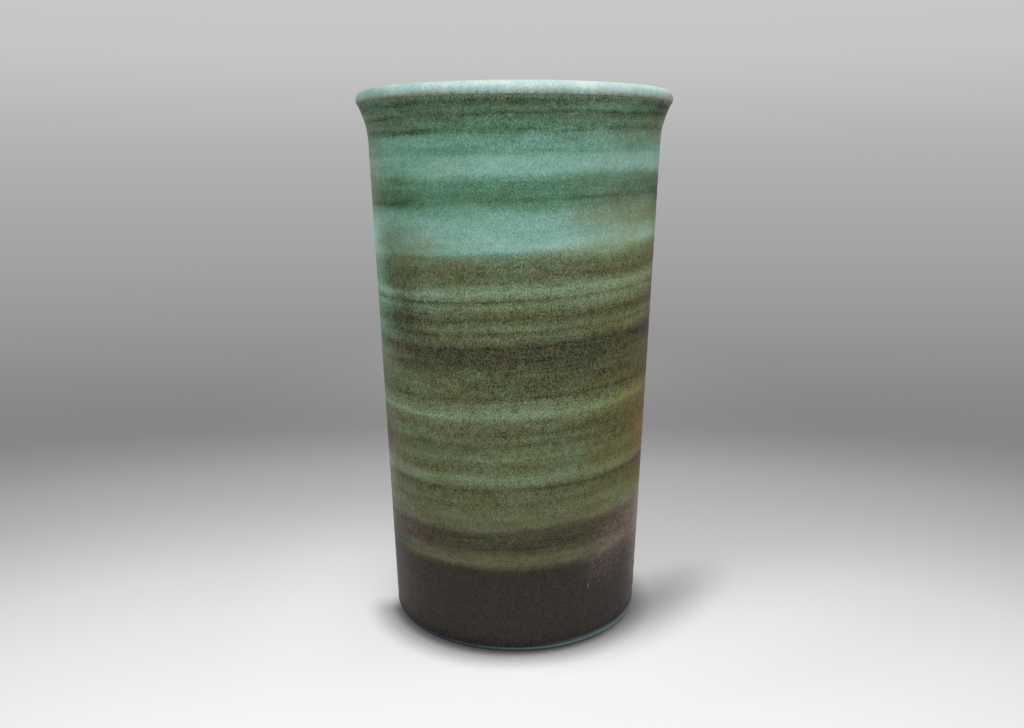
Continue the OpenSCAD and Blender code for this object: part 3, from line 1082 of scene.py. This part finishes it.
def floor_tone(t):
    """The floor's tone, falling off from the pool of light in front of the vase."""
    narrower = t.remap(t.y, *WIDENS_Y, 1 / POOL_WIDER, 1 / FAR_WIDER)
    sideways = t.times(t.add(t.x, -POOL[0]), narrower)
    distance = t.length(t.vector(sideways, t.add(t.y, -POOL[1])))
    share = t.math("DIVIDE", distance, t.add(distance, POOL_HALF_WAY))
    return t.ramp(share, [(d / (d + POOL_HALF_WAY), grey(tone)) for d, tone in FLOOR_TONES])


def floor_light(t):
    """The share of the floor's tone that is left by the shade round the vase."""
    light = None
    lit_side = t.times(t.remap(t.y, *LIT_Y), t.remap(t.x, *LIT_X))
    for (x, y), wide, darkest in CONTACT_RINGS:
        from_foot = t.length(t.offset(t.position, (-x, -y, 0)))
        dark = t.remap(from_foot, EDGE_C[0], EDGE_C[0] + wide, 1 - darkest, 0.0)
        dark = t.times(dark, t.times_add(lit_side, -LIT_SHARE, 1.0))
        left = t.times_add(dark, -1.0, 1.0)
        light = left if light is None else t.times(light, left)
    for x, y, along, across, turn_deg, darker in FLOOR_SHADES:
        moved = t.offset(t.position, (-x, -y, 0))
        turned = t.node("ShaderNodeVectorRotate", moved, rotation_type="Z_AXIS")
        turned.inputs["Angle"].default_value = -math.radians(turn_deg)
        inside = t.length(t.scaled(turned.outputs[0], (1 / along, 1 / across, 0)))
        light = t.times(light, t.remap(inside, 0.0, 1.0, 1 - darker, 1.0))
    return light


def build_floor():
    """A pale floor, which goes on far behind the vase. Its colour carries a painted pool of light
    and painted shade round the vase, and it glows.
    """
    far = FLOOR_HALF_SIZE
    mesh = bpy.data.meshes.new("floor")
    mesh.from_pydata([(-far, -far, 0), (far, -far, 0), (far, far, 0), (-far, far, 0)], [],
                     [(0, 1, 2, 3)])
    floor = bpy.data.objects.new("floor", mesh)
    bpy.context.scene.collection.objects.link(floor)
    t = Tree("floor", Roughness=1.0, Specular_IOR_Level=0.0, Emission_Strength=1.0)
    colour = t.scaled(floor_tone(t), t.times(floor_light(t), FLOOR_GLOW))
    t.put(t.shader.inputs["Emission Color"], colour)
    mesh.materials.append(t.finish(colour))


def build_world():
    """A plain backdrop that is paler upwards. It also lights the vase."""
    world = bpy.data.worlds.new("studio")
    bpy.context.scene.world = world
    world.use_nodes = True
    nodes = world.node_tree.nodes
    links = world.node_tree.links
    coords = nodes.new("ShaderNodeTexCoord")
    split = nodes.new("ShaderNodeSeparateXYZ")
    ramp = nodes.new("ShaderNodeValToRGB")
    fill_ramp(ramp.color_ramp, [(at, grey(tone)) for at, tone in SKY_TONES])
    links.new(coords.outputs["Generated"], split.inputs["Vector"])
    links.new(split.outputs["Z"], ramp.inputs["Fac"])
    links.new(ramp.outputs["Color"], nodes["Background"].inputs["Color"])


def add_sun(name, azimuth_deg, elevation_deg, spread_deg, strength, casts_shadow=True):
    """A soft sun. Azimuth 0 is straight in front of the vase, and +90 is on its right."""
    light = bpy.data.lights.new(name, "SUN")
    light.energy = strength
    light.angle = math.radians(spread_deg)
    light.use_shadow = casts_shadow
    lamp = bpy.data.objects.new(name, light)
    bpy.context.scene.collection.objects.link(lamp)
    lamp.rotation_euler = (math.radians(90 - elevation_deg), 0, math.radians(azimuth_deg))


def build_lights():
    """A soft key light from the upper left, and a fill from the front."""
    add_sun("key", azimuth_deg=-67, elevation_deg=66, spread_deg=30, strength=0.95)
    add_sun("fill", azimuth_deg=25, elevation_deg=15, spread_deg=90, strength=1.1,
            casts_shadow=False)


# The camera stands in front of the vase, a little below its lip, and looks down
CAMERA_AT = (-0.0014, -0.4406, 0.2276)
CAMERA_DOWN = 0.2246       # radians
CAMERA_ROLL = -0.003       # radians
LENS_MM = 30.98
SENSOR_MM = 36


def build_camera():
    data = bpy.data.cameras.new("camera")
    data.lens = LENS_MM
    data.sensor_width = SENSOR_MM
    camera = bpy.data.objects.new("camera", data)
    bpy.context.scene.collection.objects.link(camera)
    camera.matrix_world = (Matrix.Translation(CAMERA_AT)
                           @ Matrix.Rotation(math.pi / 2 - CAMERA_DOWN, 4, "X")
                           @ Matrix.Rotation(CAMERA_ROLL, 4, "Z"))
    bpy.context.scene.camera = camera


build_camera()
build_vase()
build_floor()
build_world()
build_lights()
bpy.context.scene.view_settings.view_transform = "Standard"
